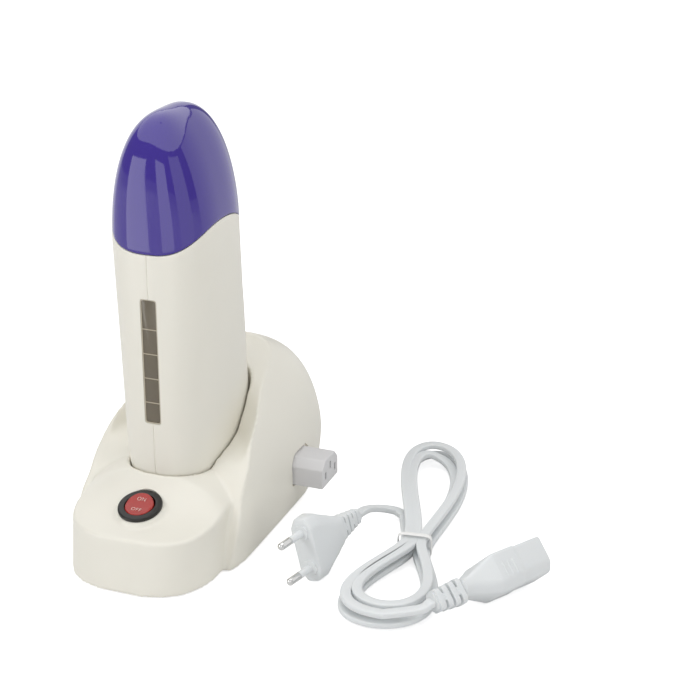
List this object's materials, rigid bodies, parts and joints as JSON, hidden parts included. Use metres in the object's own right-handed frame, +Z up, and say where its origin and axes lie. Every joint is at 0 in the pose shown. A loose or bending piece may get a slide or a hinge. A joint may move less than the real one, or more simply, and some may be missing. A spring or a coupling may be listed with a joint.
{
  "type": "roll on wax heater",
  "caption": "Hand-held roll-on wax heater with level window and lift-off lid, standing in a docking base with a rocker switch and side socket, with its mains lead in a hank.",
  "frame": {"origin": "on the surface that the base stands on, at the middle of the base's length and width", "axes": "+X to the right with the side socket, +Y to the rear, front with the switch faces -Y, +Z up"},
  "size_m": [0.2513, 0.2039, 0.2329],
  "materials": {
    "ivory_abs": "satin moulded ABS",
    "grey_abs": "matte",
    "black_pa": "satin nylon",
    "rubber": "matte",
    "zinc_steel": "zinc plated",
    "tin_brass": "tinned",
    "red_lens": "glossy",
    "cool_grey_pvc": "satin",
    "brass": "bare",
    "white_pvc": "satin flexible PVC",
    "smoky_window": "clear smoky",
    "aluminium": "bare sheet",
    "ceramic": "insulated ceramic heater",
    "spring_steel": "bare",
    "purple_lid": "high gloss",
    "nickel": "nickel plated",
    "tie": "paper and wire twist tie"
  },
  "bodies": {
    "base": {"base_housing": "ivory_abs", "base_plate": "grey_abs", "rubber_feet": "rubber", "base_screws": "zinc_steel", "switch_body": "black_pa", "switch_terminals": "tin_brass", "side_socket": "cool_grey_pvc", "socket_contacts": "brass", "dock_block": "black_pa", "dock_pins": "brass", "base_wiring": "white_pvc", "plug_body": "white_pvc", "plug_pins": "nickel", "pin_sleeves": "white_pvc", "plug_strain_relief": "white_pvc", "cord_plug_tail": "white_pvc", "cord_hank": "white_pvc", "cord_tie": "tie", "cord_connector_tail": "white_pvc", "connector_strain_relief": "white_pvc", "lead_connector": "white_pvc", "connector_pins": "nickel"},
    "handset": {"shell_left": "ivory_abs", "shell_right": "ivory_abs", "level_window": "smoky_window", "pilot_lamp": "red_lens", "bay_frame": "ivory_abs", "bay_sleeve": "aluminium", "ptc_heater": "ceramic", "heater_clips": "spring_steel", "thermal_cutout": "black_pa", "handset_foot": "ivory_abs", "handset_contacts": "brass", "handset_screws": "zinc_steel", "handset_wiring": "white_pvc"},
    "lid": {"lid": "purple_lid"},
    "rocker": {"rocker": "red_lens"}
  },
  "joints": [
    {"name": "handset_lift", "type": "slide", "parent": "base", "child": "handset", "axis": [0, 0, 1], "range_m": [0, 0.08]},
    {"name": "lid_lift", "type": "slide", "parent": "handset", "child": "lid", "axis": [0, 0, 1], "range_m": [0, 0.08]},
    {"name": "rocker_tilt", "type": "hinge", "parent": "base", "child": "rocker", "pos_m": [0, -0.06527, 0.03433], "axis": [-1, 0, 0], "range_deg": [0, 16]}
  ]
}
